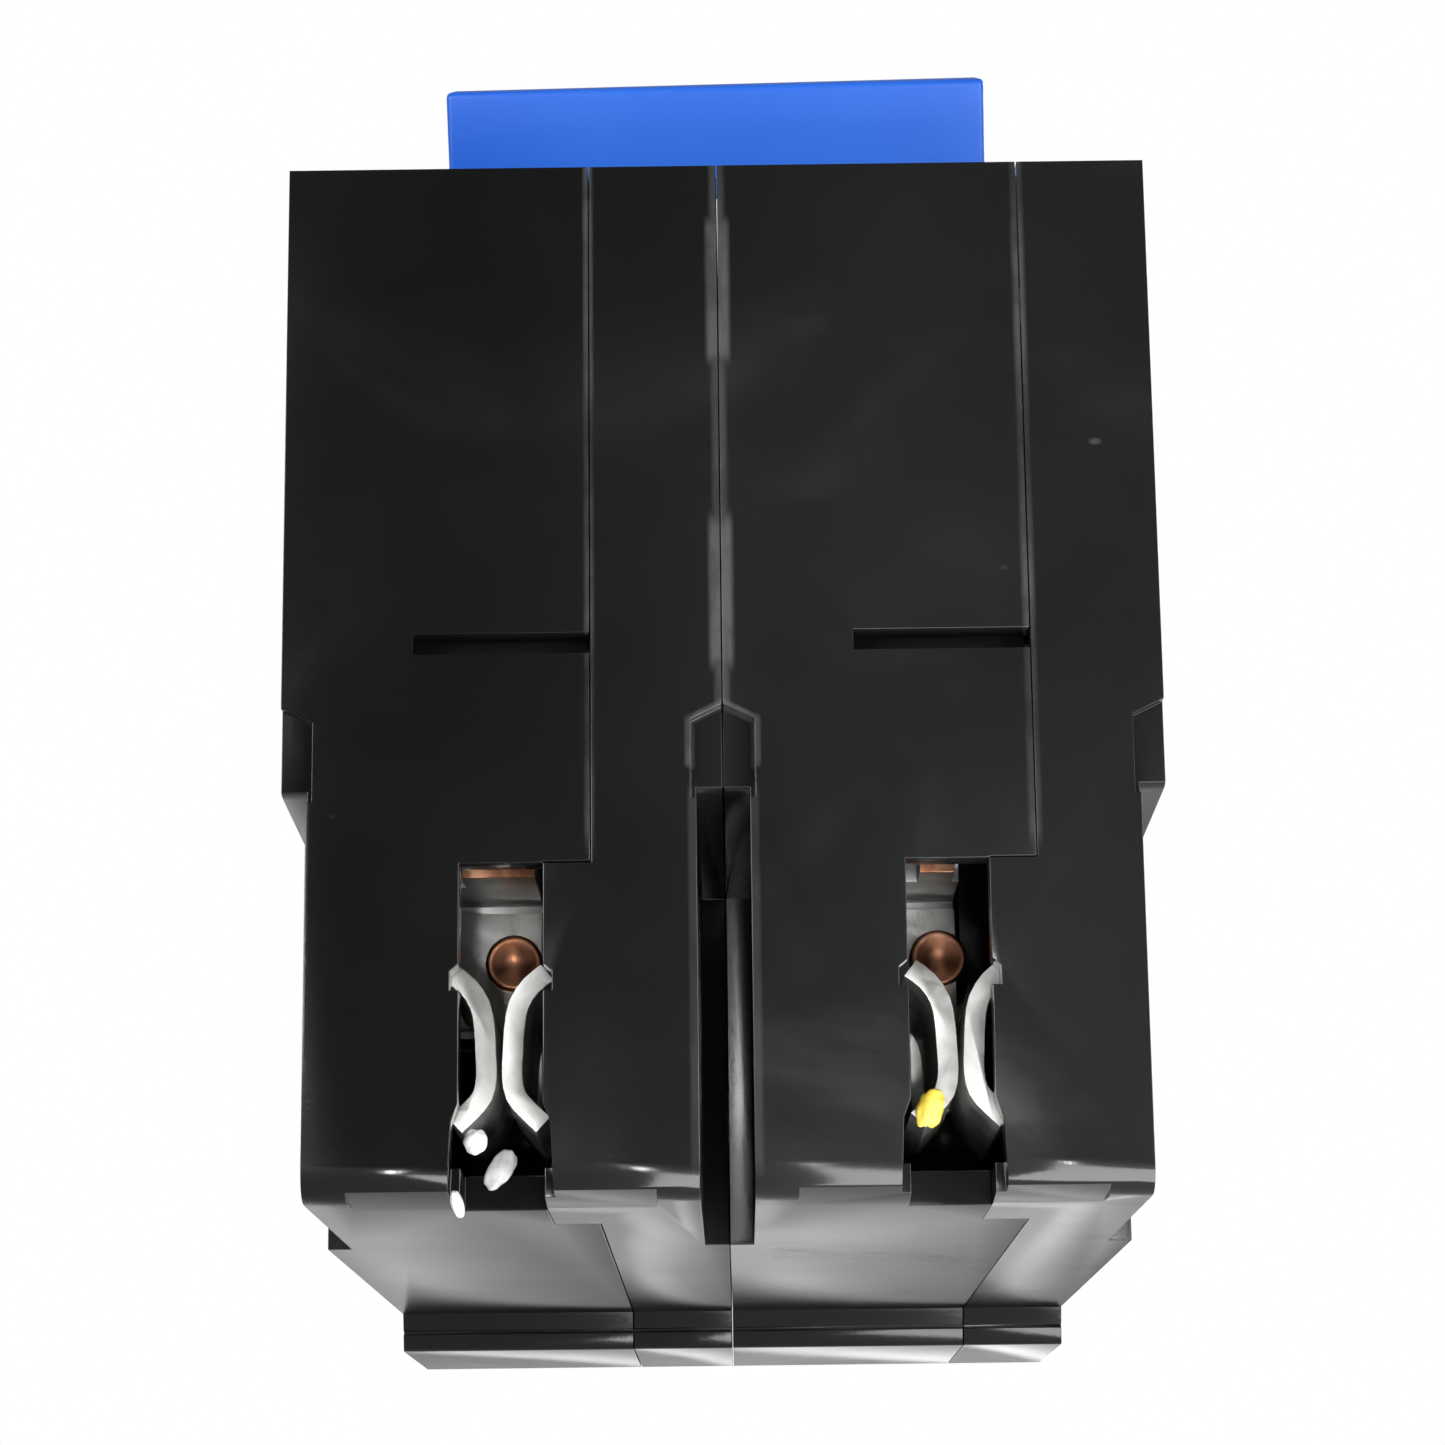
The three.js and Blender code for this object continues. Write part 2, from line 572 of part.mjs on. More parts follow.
function grommetRing() {
  const { s, z, hole, bore } = GROMMET;
  const neck = roundY(hole - 0.2, 101.2, LENGTH - 0.1, s, z, 24);
  const flange = roundY(hole + 1.2, 101.2, 102.7, s, z, 24);
  return cut(join(neck, flange), roundY(bore, 100, LENGTH + 1, s, z, 24));
}

// ---- load terminals ----
function lug(centre) {
  const { y, bottom, floor, roof, top, half, reach, wall } = LUG;
  const body = block(centre - half, centre + half, y - reach, y + reach, bottom, top);
  const inner = half - wall;
  const cavity = block(centre - inner, centre + inner, y - reach - 1, y + reach + 1, floor, roof);
  const thread = roundZ(SCREW.radius + 0.15, roof - 1, top + 1, centre, y);
  const tail = block(centre - 2.5, centre + 2.5, 78, y - reach + 1, bottom, floor);
  return join(cut(body, cavity, thread), tail);
}

function terminalScrew(centre) {
  const { radius, bottom, top } = SCREW;
  const profile = [[0, bottom], [radius - 0.6, bottom], [radius, bottom + 0.6], [radius, top - 0.4],
    [radius - 0.4, top], [0, top]];
  const body = turned(profile, 24).rotate([90, 0, 0]);
  const slot = block(-radius - 1, radius + 1, -0.5, 0.5, top - 1.5, top + 1);
  return cut(body, slot).translate([centre, LUG.y, 0]);
}

function clampPlate(centre) {
  const half = LUG.half - LUG.wall - 0.3;
  return block(centre - half, centre + half, LUG.y - 4.6, LUG.y + 4.6, 36, SCREW.bottom - 0.2);
}

function loadTerminal(prefix, centre, parent) {
  piece(`${prefix}_lug`, lug(centre), TIN, 0.35, 0.9, parent);
  piece(`${prefix}_screw`, terminalScrew(centre), STEEL, 0.3, 1, parent);
  piece(`${prefix}_clamp`, clampPlate(centre), STEEL, 0.4, 1, parent);
}

// ---- test button ----
function testButton() {
  const { y, width, depth, top } = BUTTON;
  const x = JAW.centre;
  const [a, b] = [width / 2, depth / 2];
  const cap = block(x - a, x + a, y - b, y + b, 61.6, top);
  const flange = block(x - a - 0.9, x + a + 0.9, y - b - 1, y + b + 1, 61.6, 63);
  return join(cap, flange);
}

function testSpring() {
  const geometry = wire(new Helix(1.9, 5.4, 5), 0.3, 40, 4);
  return solid(geometry.translate(JAW.centre, BUTTON.y, 55.8));
}

function testContact() {
  return block(JAW.centre - 3, JAW.centre + 3, BUTTON.y - 3.4, BUTTON.y + 3.4, 54.4, 55.2);
}

// ---- one pole ----
function buildPole(name, x, options) {
  const pole = new THREE.Group();
  pole.position.x = x;
  const { lugs } = options;
  piece(`${name}_case`, caseSolid(options), BLACK, 0.35, 0, pole);
  piece(`${name}_cover`, coverSolid(options), BLACK, 0.35, 0, pole);
  piece(`line_terminal_${name}`, lineTerminal(options), TIN, 0.35, 0.9, pole);
  piece(`jaw_clip_${name}`, jawClip(options), TIN, 0.35, 0.9, pole);
  piece(`jaw_rivet_${name}`, jawRivet(options), COPPER, 0.35, 1, pole);
  piece(`fixed_contact_${name}`, roundZ(1.7, 21.5, 22.6, JAW.centre, ARM.tipY), SILVER, 0.3, 1, pole);
  piece(`moving_contact_${name}`, roundZ(1.7, 22.8, 23.6, JAW.centre, ARM.tipY), SILVER, 0.3, 1, pole);
  piece(`contact_arm_${name}`, contactArm(), COPPER, 0.35, 1, pole);
  piece(`arc_chute_${name}`, arcChute(), STEEL, 0.5, 0.9, pole);
  piece(`vent_baffle_${name}`, ventBaffle(), 0x1a1a1b, 0.8, 0, pole);
  piece(`cradle_${name}`, cradle(), STEEL, 0.4, 1, pole);
  piece(`cradle_spring_${name}`, cradleSpring(), STEEL, 0.3, 1, pole);
  piece(`armature_${name}`, armature(), STEEL, 0.4, 1, pole);
  piece(`magnet_yoke_${name}`, magnetYoke(), STEEL, 0.45, 1, pole);
  piece(`bimetal_${name}`, block(11.2, 14.2, 66.2, 67.2, 18, 46), STEEL, 0.35, 1, pole);
  piece(`load_braid_${name}`, loadBraid(lugs[0]), COPPER, 0.6, 0.8, pole);
  loadTerminal(`load_${name}`, lugs[0], pole);
  piece(`handle_${name}`, handleLever(), BLUE, 0.45, 0, pole);
  return pole;
}

function buildGroundFaultUnit(pole) {
  loadTerminal('neutral', NEUTRAL_LUG, pole);
  piece('test_button', testButton(), 0xe3c23a, 0.45, 0, pole);
  piece('test_spring', testSpring(), STEEL, 0.3, 1, pole);
  piece('test_contact', testContact(), COPPER, 0.35, 1, pole);
  piece('sensor_coil', sensorCoil(), 0x6d5a2a, 0.5, 0.2, pole);
  piece('circuit_board', circuitBoard(), 0x2c6b3a, 0.5, 0, pole);
  piece('solenoid_coil', solenoidCoil(), 0x9a4a2a, 0.45, 0.4, pole);
  piece('solenoid_frame', solenoidFrame(), STEEL, 0.4, 1, pole);
  piece('solenoid_plunger', plunger(), STEEL, 0.3, 1, pole);
  piece('plunger_spring', plungerSpring(), STEEL, 0.3, 1, pole);
  piece('pigtail_grommet', grommetRing(), 0x2a2b2d, 0.7, 0, pole);
}

function buildBreaker() {
  const breaker = new THREE.Group();
  breaker.position.set(0, -LENGTH / 2, FOOT.depth);
  const left = buildPole('left', -POLE, { offset: -0.2, rivet: -0.28, ledge: [9.8, 14.1], lugs: [LEFT_LUG] });
  const right = buildPole('right', 0, {
    offset: 0.6, rivet: 0.29, ledge: [11.6, 13.7], lugs: [RIGHT_LUG, NEUTRAL_LUG],
    grommet: true, button: true, rightHand: true,
  });
  buildGroundFaultUnit(right);
  breaker.add(left, right);
  piece('handle_tie', handleTie(), BLUE, 0.45, 0, breaker);
  piece('trip_bar', tripBar(), 0x3a3a3c, 0.5, 0, breaker);
  RIVETS.forEach(([y, z], i) => piece(`case_rivet_${i + 1}`, caseRivet(y, z), STEEL, 0.35, 1, breaker));
  return breaker;
}

export default buildBreaker();
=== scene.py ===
"""Looks for the two-pole GFCI breaker: materials, bevelled edges, a paint dab and white dabs that paint
glints, lights and camera.

Metres, in the row frame: X across the poles, -Y the line end that faces the camera, +Z the handle side.
"""
import json
import math

import bmesh
import bpy
from mathutils import Matrix, Vector, noise

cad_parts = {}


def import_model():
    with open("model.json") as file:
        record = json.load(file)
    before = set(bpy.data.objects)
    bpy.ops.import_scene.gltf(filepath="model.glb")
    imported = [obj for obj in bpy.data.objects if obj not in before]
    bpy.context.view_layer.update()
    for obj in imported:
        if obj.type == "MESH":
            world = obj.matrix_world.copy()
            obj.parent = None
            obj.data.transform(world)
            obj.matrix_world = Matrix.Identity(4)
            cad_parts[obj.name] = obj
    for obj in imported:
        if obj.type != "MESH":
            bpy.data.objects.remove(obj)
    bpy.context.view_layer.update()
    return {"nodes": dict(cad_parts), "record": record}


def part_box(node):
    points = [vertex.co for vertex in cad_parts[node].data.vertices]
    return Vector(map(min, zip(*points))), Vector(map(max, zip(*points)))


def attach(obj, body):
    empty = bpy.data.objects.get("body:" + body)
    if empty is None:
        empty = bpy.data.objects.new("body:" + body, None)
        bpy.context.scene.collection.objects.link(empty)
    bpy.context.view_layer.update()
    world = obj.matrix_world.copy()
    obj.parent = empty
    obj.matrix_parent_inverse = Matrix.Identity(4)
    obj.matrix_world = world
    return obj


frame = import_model()

MM = 0.001
SIDES = ("left", "right")

# ---- places read from the frame ----
FACE_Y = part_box("left_case")[0].y  # line-end face
LEFT_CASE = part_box("left_case")
RIGHT_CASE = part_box("right_case")
LEFT_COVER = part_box("left_cover")
FOOT_DEPTH = 2.8 * MM
BASE_Z = LEFT_CASE[0].z + FOOT_DEPTH  # base plane, above the underside of the foot
POLE_JOINT_X = (LEFT_COVER[1].x + RIGHT_CASE[0].x) / 2
CASE_SEAMS_X = [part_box(f"{side}_case")[1].x for side in SIDES]
RECESS_HALF = 1.54 * MM  # from the joint between the poles to the recess's side walls
HEXAGON_HALF = 1.86 * MM
TERMINAL_FRONT_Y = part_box("line_terminal_left")[0].y
# middle of each jaw's mouth
MOUTH_X = {side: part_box(f"{side}_case")[0].x + 12.66 * MM for side in SIDES}

# ---- where dust gathers on the line-end face, heights above the base ----
JOINT_DUST_FROM = (27.5 * MM, 28.5 * MM)
SEAM_DUST_FROM = (19 * MM, 21 * MM)
UPPER_DUST = (49.6 * MM, 57.1 * MM)
LOWER_DUST = (31.4 * MM, 38.6 * MM)
# painted highlights along the edges of the deep recess, of the hexagon's sides and of its roof
RECESS_HIGHLIGHT_SPAN = (2.5 * MM, 22.5 * MM)
HEXAGON_HIGHLIGHT_SPAN = (24.9 * MM, 27.3 * MM)
HEXAGON_PEAK = 28.35 * MM

# ---- camera: facing the line end, from slightly below the base ----
CAMERA_AT = Vector((0.55, -260.67, -19.34)) * MM
CAMERA_LOOK = Vector((-0.00255, 0.97309, 0.23041))
CAMERA_UP = Vector((0.01236, -0.23036, 0.97303))
LENS_MM = 92.93
SENSOR_MM = 36.0

# ---- floor and light ----
FLOOR_Z = -46 * MM
FLOOR_HALF = 3.0  # m
PANEL_TARGET = (0, 0, 0.04)
PANEL_LEFT = {"place": (-0.42, -0.48, 0.085), "size": (0.36, 0.15), "power": 2.4}
PANEL_RIGHT = {"place": (0.42, -0.44, 0.085), "size": (0.34, 0.15), "power": 2.0}
WINDOW_X, WINDOW_Y = 0.058, -0.16
WINDOW_SIZE = (0.108, 0.18)
WINDOW_POWER = 0.45
BACK_PLACE = (0.4, 0.6, 0.26)
BACK_TARGET = (0.14, 0.5, FLOOR_Z)
BACK_SIZE = (0.4, 0.4)
BACK_POWER = 5.4
BACK_SPREAD = math.radians(100)
BEAM_POWER = {"left": 0.00025, "right": 0.00012}
BEAM_FROM = (-0.32, -0.04)  # y and z
BEAM_SIZE = (0.012, 0.02)
BEAM_SPREAD = math.radians(5)
ROOM_FRONT = 0.04
ROOM_BACK = 0.5

# white dabs that paint the glints in the left mouth: x from the mouth's middle, y from the end face, z above
# the base (mm), radii (mm), lean (rad)
PAINTED_GLINTS = [
    (-1.55, 2.4, 3.55, (0.65, 0.3, 0.7), 0.5),
    (-0.35, 6.0, 2.35, (0.7, 0.4, 1.3), 0.55),
    (-2.45, 0.9, -0.1, (0.35, 0.3, 0.75), -0.3),
]


SKIN_GRAIN = 1500.0  # fine grain of the softer plastics
METAL_GRAIN = 900.0


# ---- node graphs ----
class Graph:
    """A small helper for writing a material's node graph as expressions."""

    def __init__(self, name):
        self.material = bpy.data.materials.new(name)
        self.material.use_nodes = True
        self.tree = self.material.node_tree
        self.shader = self.tree.nodes["Principled BSDF"]
        self.place = self.tree.nodes.new("ShaderNodeTexCoord").outputs["Object"]
        split = self.tree.nodes.new("ShaderNodeSeparateXYZ")
        self.tree.links.new(self.place, split.inputs[0])
        self.x, self.y, self.z = split.outputs

    def node(self, kind, inputs=None, **settings):
        made = self.tree.nodes.new(kind)
        for key, value in settings.items():
            setattr(made, key, value)
        for key, value in (inputs or {}).items():
            self.feed(made.inputs[key], value)
        return made

    def feed(self, socket, value):
        if isinstance(value, bpy.types.NodeSocket):
            self.tree.links.new(value, socket)
        else:
            socket.default_value = value

    def math(self, operation, a, b=0.0, clamp=False):
        return self.node("ShaderNodeMath", {0: a, 1: b}, operation=operation, use_clamp=clamp).outputs[0]

    def stretch(self, scale):
        """The object's own coordinates, scaled for each axis."""
        return self.node("ShaderNodeMapping", {"Vector": self.place, "Scale": scale}).outputs[0]

    def noise(self, scale, detail=4.0, rough=0.55, vector=None, distortion=0.0):
        inputs = {"Vector": vector or self.place, "Scale": scale, "Detail": detail,
                  "Roughness": rough, "Distortion": distortion}
        return self.node("ShaderNodeTexNoise", inputs).outputs["Fac"]

    def cells(self, scale, vector=None, feature="F1"):
        inputs = {"Vector": vector or self.place, "Scale": scale}
        return self.node("ShaderNodeTexVoronoi", inputs, feature=feature).outputs["Distance"]

    def step(self, value, low, high, out_low=0.0, out_high=1.0):
        """Smooth change from out_low to out_high as value goes from low to high."""
        made = self.node("ShaderNodeMapRange", {"Value": value, "From Min": low, "From Max": high,
                                                "To Min": out_low, "To Max": out_high},
                         interpolation_type="SMOOTHSTEP")
        return made.outputs["Result"]

    def mix(self, factor, a, b):
        made = self.node("ShaderNodeMix", data_type="RGBA")
        self.feed(made.inputs[0], factor)
        self.feed(made.inputs[6], a)
        self.feed(made.inputs[7], b)
        return made.outputs[2]

    def near(self, value, place, half_width, soft):
        """1 where value is within half_width of place, fading to 0 over soft."""
        distance = self.math("ABSOLUTE", self.math("SUBTRACT", value, place))
        return self.step(distance, half_width, half_width + soft, 1.0, 0.0)

    def between(self, value, low, high, soft):
        rise = self.step(value, low - soft, low)
        return self.math("MULTIPLY", rise, self.step(value, high, high + soft, 1.0, 0.0))

    def bump(self, height, strength, distance, under=None):
        inputs = {"Height": height, "Strength": strength, "Distance": distance}
        if under is not None:
            inputs["Normal"] = under
        return self.node("ShaderNodeBump", inputs).outputs["Normal"]

    def finish(self, color=None, roughness=None, metallic=None, normal=None, **constants):
        for key, value in (("Base Color", color), ("Roughness", roughness), ("Metallic", metallic),
                           ("Normal", normal)):
            if value is not None:
                self.feed(self.shader.inputs[key], value)
        for key, value in constants.items():
            self.shader.inputs[key.replace("_", " ")].default_value = value
        return self.material


def gray(level, tint=(1.0, 1.0, 1.0)):
    return (level * tint[0], level * tint[1], level * tint[2], 1.0)


def seam_dust(g, height, on_face):
    """How dusty a point near a joint of the line-end face is: module joint first, then case seams."""
    grain = g.noise(900.0, 5.0, 0.7, g.stretch((1.0, 1.0, 0.35)))
    band = g.noise(90.0, 2.0, 0.5, g.stretch((0.1, 0.1, 1.0)))
    upper = g.between(height, *UPPER_DUST, 1.2 * MM)
    lower = g.between(height, *LOWER_DUST, 1.6 * MM)
    wide = g.math("MAXIMUM", upper, lower)
    joint_core = g.near(g.x, POLE_JOINT_X, 0.2 * MM, 0.4 * MM)
    joint_wide = g.math("MULTIPLY", g.near(g.x, POLE_JOINT_X, 0.45 * MM, 0.4 * MM), wide)
    joint = g.math("MAXIMUM", g.math("MULTIPLY", joint_core, 0.55), joint_wide)
    joint = g.math("MULTIPLY", joint, g.step(height, *JOINT_DUST_FROM))
    seams = g.near(g.x, CASE_SEAMS_X[0], 0.1 * MM, 0.3 * MM)
    seams = g.math("MAXIMUM", seams, g.near(g.x, CASE_SEAMS_X[1], 0.14 * MM, 0.36 * MM))
    patches = g.step(g.math("ADD", band, g.math("MULTIPLY", grain, 0.35)), 0.52, 0.95, 0.2, 0.9)
    seams = g.math("MULTIPLY", g.math("MULTIPLY", seams, patches), g.step(height, *SEAM_DUST_FROM))
    dusty = g.math("ADD", joint, seams, clamp=True)
    dust_grain_and_highlight = g.step(grain, 0.3, 0.62, 0.55, 1.0)
    return g.math("MULTIPLY", g.math("MULTIPLY", dusty, dust_grain_and_highlight), on_face)


def painted_edge_highlights(g, height, on_face):
    """Painted edge highlights: pale lines along both sides of the deep recess and the hexagon above it."""
    from_joint = g.math("ABSOLUTE", g.math("SUBTRACT", g.x, POLE_JOINT_X))
    grain = g.step(g.noise(500.0, 4.0, 0.6, g.stretch((1.0, 1.0, 0.3))), 0.3, 0.65, 0.45, 1.0)
    recess = g.near(from_joint, RECESS_HALF + 0.22 * MM, 0.1 * MM, 0.3 * MM)
    recess = g.math("MULTIPLY", recess, g.between(height, *RECESS_HIGHLIGHT_SPAN, 2 * MM))
    sides = g.near(from_joint, HEXAGON_HALF + 0.05 * MM, 0.12 * MM, 0.25 * MM)
    sides = g.math("MULTIPLY", sides, g.between(height, *HEXAGON_HIGHLIGHT_SPAN, 0.5 * MM))
    peak = g.math("ADD", height, g.math("MULTIPLY", from_joint, 0.5))
    roof = g.math("MULTIPLY", g.near(peak, HEXAGON_PEAK, 0.1 * MM, 0.25 * MM),
                  g.step(from_joint, HEXAGON_HALF, HEXAGON_HALF + 0.2 * MM, 1.0, 0.0))
    edges = g.math("MAXIMUM", g.math("MULTIPLY", recess, 0.4), g.math("MAXIMUM", sides, roof))
    return g.math("MULTIPLY", g.math("MULTIPLY", edges, grain), on_face)


def specks(g, scale, size, keep):
    """Scattered dust specks: small cells, of which only some are kept, drawn out a little sideways."""
    vector = g.stretch((0.55, 1.0, 1.0))
    cell = g.node("ShaderNodeTexVoronoi", {"Vector": vector, "Scale": scale})
    spot = g.step(cell.outputs["Distance"], size * 0.4, size, 1.0, 0.0)
    chance = g.node("ShaderNodeSeparateXYZ", {0: cell.outputs["Color"]}).outputs[0]
    return g.math("MULTIPLY", spot, g.step(chance, 1 - keep, 1 - keep + 0.01))


def case_plastic():
    """Black moulded thermoset: glossy skin with flow marks, dust in the joints, specks, faint smears that
    also paint a sheen, painted shading lighter towards the right and painted edge highlights.
    """
    g = Graph("case_plastic")
    height = g.math("SUBTRACT", g.z, BASE_Z)
    on_face = g.step(g.y, FACE_Y + 0.5 * MM, FACE_Y + 1.2 * MM, 1.0, 0.0)
    under = g.step(height, 0.05 * MM, 0.3 * MM, 1.0, 0.0)
    mottle = g.noise(38.0, 3.0, 0.6)
    # painted shading: the black plastic's colour lightens steadily towards +X, the side the light falls on
    side = g.step(g.x, -22 * MM, 14 * MM)
    # smears: they raise the roughness, and their lighter colour paints a sheen that grows towards the right
    smear_and_sheen = g.noise(52.0, 4.0, 0.55, g.stretch((1.0, 1.0, 1.5)), 0.6)
    smear_and_sheen = g.math("MULTIPLY", g.step(smear_and_sheen, 0.52, 0.8), g.step(g.x, -5 * MM, 9 * MM, 0.35, 1.0))
    tone = g.math("MULTIPLY", g.step(mottle, 0.3, 0.7), 0.35)
    color = g.mix(g.math("ADD", tone, g.math("MULTIPLY", side, 0.65)),
                  gray(0.0048, (1.0, 0.99, 1.02)), gray(0.0115, (0.97, 1.0, 1.04)))
    color = g.mix(g.math("MULTIPLY", smear_and_sheen, 0.35), color, gray(0.034, (0.97, 1.0, 1.04)))
    color = g.mix(g.math("MULTIPLY", specks(g, 330.0, 0.13, 0.07), 0.5), color, gray(0.17))
    dust = g.math("MULTIPLY", seam_dust(g, height, on_face), 0.5)
    color = g.mix(dust, color, gray(0.13, (0.98, 1.0, 0.97)))
    # painted highlights: pale lines mixed into the colour along the recess and hexagon edges
    dust_grain_and_highlight = g.math("MULTIPLY", painted_edge_highlights(g, height, on_face), 0.5)
    color = g.mix(dust_grain_and_highlight, color, gray(0.11, (0.98, 1.0, 1.0)))
    roughness = g.math("ADD", g.step(mottle, 0.25, 0.75, 0.12, 0.17), g.math("MULTIPLY", smear_and_sheen, 0.13))
    flat_base = g.math("MULTIPLY", under, g.step(height, -0.3 * MM, -0.05 * MM))
    roughness = g.math("ADD", roughness, g.math("MULTIPLY", flat_base, 0.08))
    skin = g.bump(g.noise(2600.0, 2.0, 0.6), 0.12, 0.00003)
    streaks = g.noise(1100.0, 3.0, 0.65, g.stretch((1.0, 0.13, 1.0)))
    skin = g.bump(g.math("MULTIPLY", streaks, under), 0.3, 0.00003, skin)
    return g.finish(color, roughness, 0.0, skin, IOR=1.5)


def handle_plastic():
    """Blue moulded plastic, satin, with slow tone changes, a faint grain and rubbed spots."""
    g = Graph("handle_plastic")
    tone = g.noise(45.0, 2.0, 0.5)
    rub = g.step(g.noise(260.0, 5.0, 0.7, g.stretch((0.3, 1.0, 1.0))), 0.6, 0.85)
    color = g.mix(g.step(tone, 0.3, 0.7), (0.017, 0.146, 0.78, 1.0), (0.028, 0.182, 0.86, 1.0))
    color = g.mix(g.math("MULTIPLY", rub, 0.25), color, (0.11, 0.25, 0.78, 1.0))
    color = g.mix(g.math("MULTIPLY", specks(g, 420.0, 0.1, 0.05), 0.5), color, (0.02, 0.05, 0.2, 1.0))
    roughness = g.step(tone, 0.3, 0.7, 0.42, 0.5)
    skin = g.bump(g.noise(1800.0, 3.0, 0.6), 0.2, 0.00005)
    return g.finish(color, roughness, 0.0, skin, IOR=1.5)


def metal(name, bright, dark, rough, spot=None, brushed=(1.0, 1.0, 1.0)):
    """Plated or bare metal: brushed grain, cloudy tone, tarnish spots and uneven roughness."""
    g = Graph(name)
    cloud = g.noise(220.0, 4.0, 0.6)
    lines = g.noise(METAL_GRAIN, 3.0, 0.6, g.stretch(brushed))
    color = g.mix(g.step(cloud, 0.32, 0.68), dark, bright)
    if spot is not None:
        stains = g.step(g.noise(420.0, 4.0, 0.7, None, 0.8), 0.56, 0.74)
        color = g.mix(g.math("MULTIPLY", stains, 0.7), color, spot)
    roughness = g.step(lines, 0.2, 0.8, rough - 0.08, rough + 0.08)
    roughness = g.math("ADD", roughness, g.math("MULTIPLY", cloud, 0.08))
    return g.finish(color, roughness, 1.0, g.bump(lines, 0.22, 0.00005), IOR=1.5)


def line_terminal():
    """Tin plate over copper; the sheared front edge of the ledge shows the bare copper."""
    g = Graph("line_terminal")
    cloud = g.noise(260.0, 4.0, 0.6)
    tin = g.mix(g.step(cloud, 0.3, 0.7), gray(0.46, (1.0, 0.98, 0.94)), gray(0.66, (0.98, 1.0, 1.0)))
    copper = g.mix(g.step(g.noise(700.0), 0.35, 0.65), (0.40, 0.17, 0.09, 1), (0.82, 0.44, 0.27, 1))
    sheared = g.step(g.y, TERMINAL_FRONT_Y + 0.1 * MM, TERMINAL_FRONT_Y + 0.35 * MM, 1.0, 0.0)
    lines = g.noise(1200.0, 3.0, 0.6, g.stretch((0.2, 1.0, 1.0)))
    return g.finish(g.mix(sheared, tin, copper), g.step(lines, 0.2, 0.8, 0.34, 0.5), 0.9,
                    g.bump(lines, 0.2, 0.00005), IOR=1.5)


def soft_plastic(name, light, dark, rough, specular=0.5):
    g = Graph(name)
    tone = g.noise(160.0, 3.0, 0.6)
    color = g.mix(g.step(tone, 0.3, 0.7), dark, light)
    return g.finish(color, g.step(tone, 0.3, 0.7, rough - 0.05, rough + 0.05), 0.0,
                    g.bump(g.noise(SKIN_GRAIN, 3.0, 0.6), 0.25, 0.00006),
                    IOR=1.5, Specular_IOR_Level=specular)


def wound(name, light, dark, rough, turns_per_m, metallic):
    """Fine windings or tape laps: ridges along the piece's own Y axis over a cloudy tone."""
    g = Graph(name)
    wave = g.node("ShaderNodeTexWave", {"Vector": g.place, "Scale": turns_per_m, "Distortion": 0.4},
                  bands_direction="Y")
    ridges = wave.outputs["Fac"]
    color = g.mix(g.step(ridges, 0.1, 0.8), dark, light)
    return g.finish(color, g.step(g.noise(300.0), 0.3, 0.7, rough - 0.05, rough + 0.08), metallic,
                    g.bump(ridges, 0.6, 0.0002), IOR=1.5)


def board_green():
    g = Graph("board")
    tracks = g.step(g.cells(260.0, g.stretch((1.0, 1.0, 3.0)), "DISTANCE_TO_EDGE"), 0.03, 0.07, 1.0, 0.0)
    color = g.mix(tracks, (0.018, 0.13, 0.05, 1.0), (0.05, 0.27, 0.1, 1.0))
    roughness = g.step(g.noise(400.0), 0.3, 0.7, 0.28, 0.4)
    return g.finish(color, roughness, 0.0, g.bump(tracks, 0.4, 0.00006), IOR=1.5)


def paint_dab():
    """Yellow inspection paint, thick and a little uneven."""
    g = Graph("inspection_paint")
    tone = g.noise(900.0, 3.0, 0.6)
    color = g.mix(g.step(tone, 0.3, 0.7), (0.62, 0.42, 0.03, 1.0), (0.86, 0.68, 0.12, 1.0))
    return g.finish(color, g.step(tone, 0.3, 0.7, 0.35, 0.5), 0.0, g.bump(tone, 0.4, 0.0001), IOR=1.5)


# painted glints: white, shiny blobs standing in for highlights on the glossy floor of the left mouth
def painted_glint_white():
    g = Graph("painted_glint_white")
    tone = g.noise(700.0, 3.0, 0.6)
    color = g.mix(g.step(tone, 0.3, 0.7), gray(0.52, (0.98, 1.0, 1.0)), gray(0.8))
    return g.finish(color, g.step(tone, 0.3, 0.7, 0.18, 0.3), 0.0, g.bump(tone, 0.3, 0.0001), IOR=1.45)


